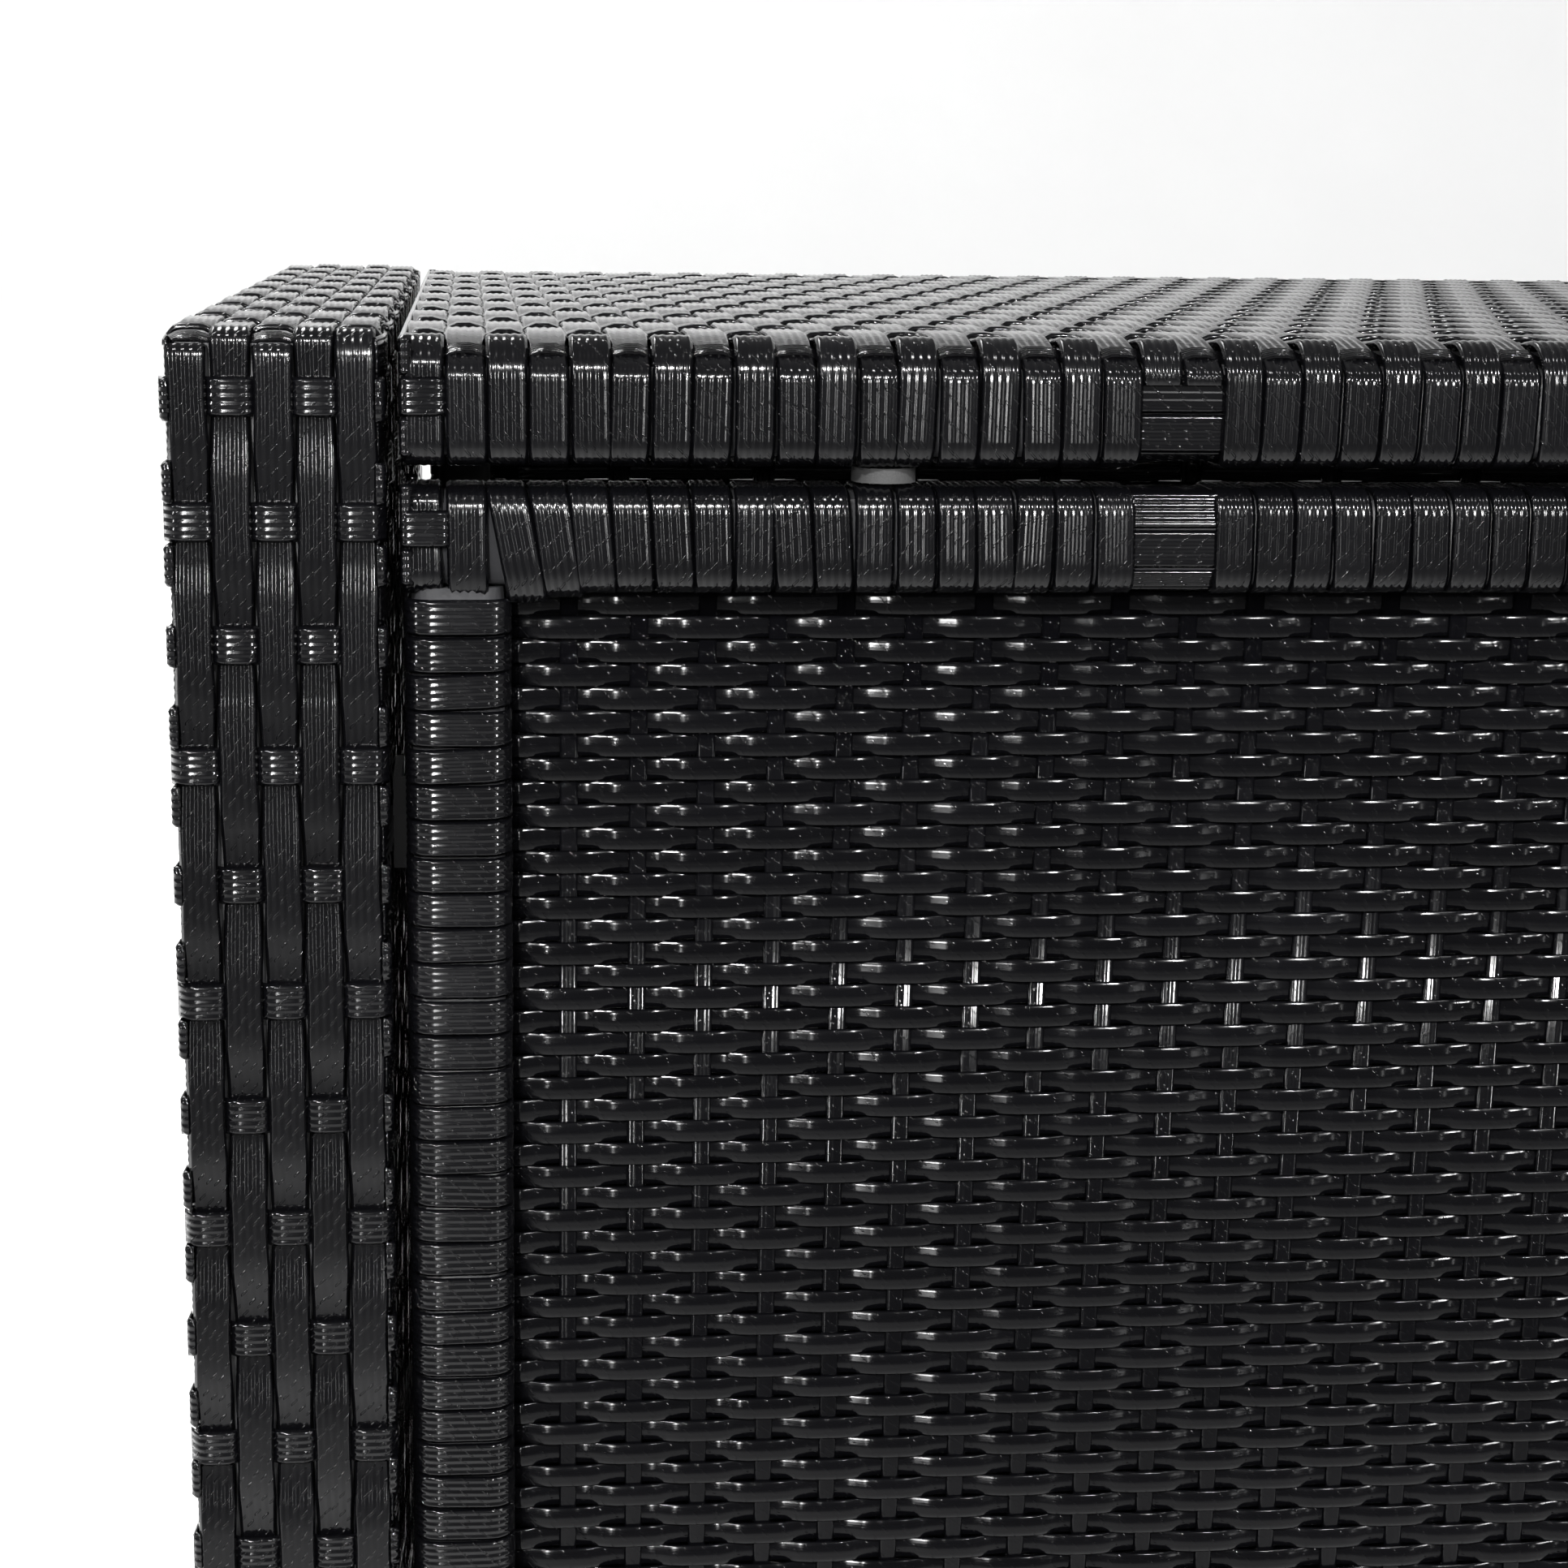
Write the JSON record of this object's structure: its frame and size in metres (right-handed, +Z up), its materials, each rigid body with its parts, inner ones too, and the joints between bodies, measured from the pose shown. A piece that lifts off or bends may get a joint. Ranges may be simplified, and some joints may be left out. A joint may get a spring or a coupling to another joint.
{
  "type": "deck storage box",
  "caption": "Black woven resin deck storage box with slab side panels, framed front and rear panels, and a hinged lid held by gas struts.",
  "frame": {"origin": "on the floor under the middle of the box", "axes": "+X along the length to the right seen from the front, +Y towards the back, +Z up; the front faces -Y"},
  "size_m": [1.2, 0.5, 0.6],
  "materials": {
    "frame_steel": "powder coat",
    "black_paint": "powder coat",
    "resin_strand": "glossy black resin with fine ridges",
    "resin_strand_narrow": "glossy black resin",
    "foot_plastic": "moulded",
    "rubber": "plain",
    "zinc_steel": "zinc plated",
    "bracket_steel": "powder coat",
    "strut_black": "gloss paint",
    "strut_chrome": "hard chrome"
  },
  "bodies": {
    "box": {"bracket_screws": "zinc_steel", "corner_brackets": "bracket_steel", "floor_crossbar_1": "black_paint", "floor_crossbar_2": "black_paint", "floor_crossbar_3": "black_paint", "floor_crossbar_4": "black_paint", "floor_screws": "zinc_steel", "floor_weave": "resin_strand", "foot_front_left": "foot_plastic", "foot_front_right": "foot_plastic", "foot_rear_left": "foot_plastic", "foot_rear_right": "foot_plastic", "front_corner_wraps": "resin_strand", "front_frame": "frame_steel", "front_infill": "resin_strand_narrow", "front_mid_bar": "black_paint", "front_wrap_bottom": "resin_strand", "front_wrap_left": "resin_strand", "front_wrap_right": "resin_strand", "front_wrap_top": "resin_strand", "hinge_leaf_box_left": "bracket_steel", "hinge_leaf_box_right": "bracket_steel", "hinge_pin_left": "zinc_steel", "hinge_pin_right": "zinc_steel", "hinge_screws_box": "zinc_steel", "lid_bumpers": "rubber", "rear_corner_wraps": "resin_strand", "rear_frame": "frame_steel", "rear_infill": "resin_strand_narrow", "rear_mid_bar": "black_paint", "rear_wrap_bottom": "resin_strand", "rear_wrap_left": "resin_strand", "rear_wrap_right": "resin_strand", "rear_wrap_top": "resin_strand", "side_frame_left": "frame_steel", "side_frame_right": "frame_steel", "side_skin_left": "resin_strand", "side_skin_right": "resin_strand", "strut_bracket_box_left": "bracket_steel", "strut_bracket_box_right": "bracket_steel", "strut_screws_box": "zinc_steel"},
    "lid": {"hinge_leaf_lid_left": "bracket_steel", "hinge_leaf_lid_right": "bracket_steel", "hinge_screws_lid": "zinc_steel", "lid_crossbar_left": "black_paint", "lid_crossbar_right": "black_paint", "lid_frame": "frame_steel", "lid_weave": "resin_strand", "lid_wrap_front": "resin_strand", "lid_wrap_left": "resin_strand", "lid_wrap_rear": "resin_strand", "lid_wrap_right": "resin_strand", "strut_bracket_lid_left": "bracket_steel", "strut_bracket_lid_right": "bracket_steel", "strut_screws_lid": "zinc_steel"},
    "strut_tube_left": {"strut_tube_left": "strut_black"},
    "strut_tube_right": {"strut_tube_right": "strut_black"},
    "strut_rod_left": {"strut_rod_left": "strut_chrome"},
    "strut_rod_right": {"strut_rod_right": "strut_chrome"}
  },
  "joints": [
    {"name": "lid_hinge", "type": "hinge", "parent": "box", "child": "lid", "pos_m": [0, 0.244, 0.5644], "axis": [-1, 0, 0], "range_deg": [0, 80]},
    {"name": "strut_tube_left_pivot", "type": "hinge", "parent": "lid", "child": "strut_tube_left", "pos_m": [-0.528, 0.04425, 0.5544], "axis": [-1, 0, 0], "range_deg": [-40, 0]},
    {"name": "strut_tube_right_pivot", "type": "hinge", "parent": "lid", "child": "strut_tube_right", "pos_m": [0.528, 0.04425, 0.5544], "axis": [-1, 0, 0], "range_deg": [-40, 0]},
    {"name": "strut_rod_left_pivot", "type": "hinge", "parent": "box", "child": "strut_rod_left", "pos_m": [-0.528, 0.18508, 0.37328], "axis": [-1, 0, 0], "range_deg": [0, 40]},
    {"name": "strut_rod_right_pivot", "type": "hinge", "parent": "box", "child": "strut_rod_right", "pos_m": [0.528, 0.18508, 0.37328], "axis": [-1, 0, 0], "range_deg": [0, 40]}
  ],
  "couplings": [
    {"joint": "strut_tube_left_pivot", "follows": "lid_hinge", "ratio": -0.5},
    {"joint": "strut_tube_right_pivot", "follows": "lid_hinge", "ratio": -0.5},
    {"joint": "strut_rod_left_pivot", "follows": "lid_hinge", "ratio": 0.5},
    {"joint": "strut_rod_right_pivot", "follows": "lid_hinge", "ratio": 0.5}
  ]
}
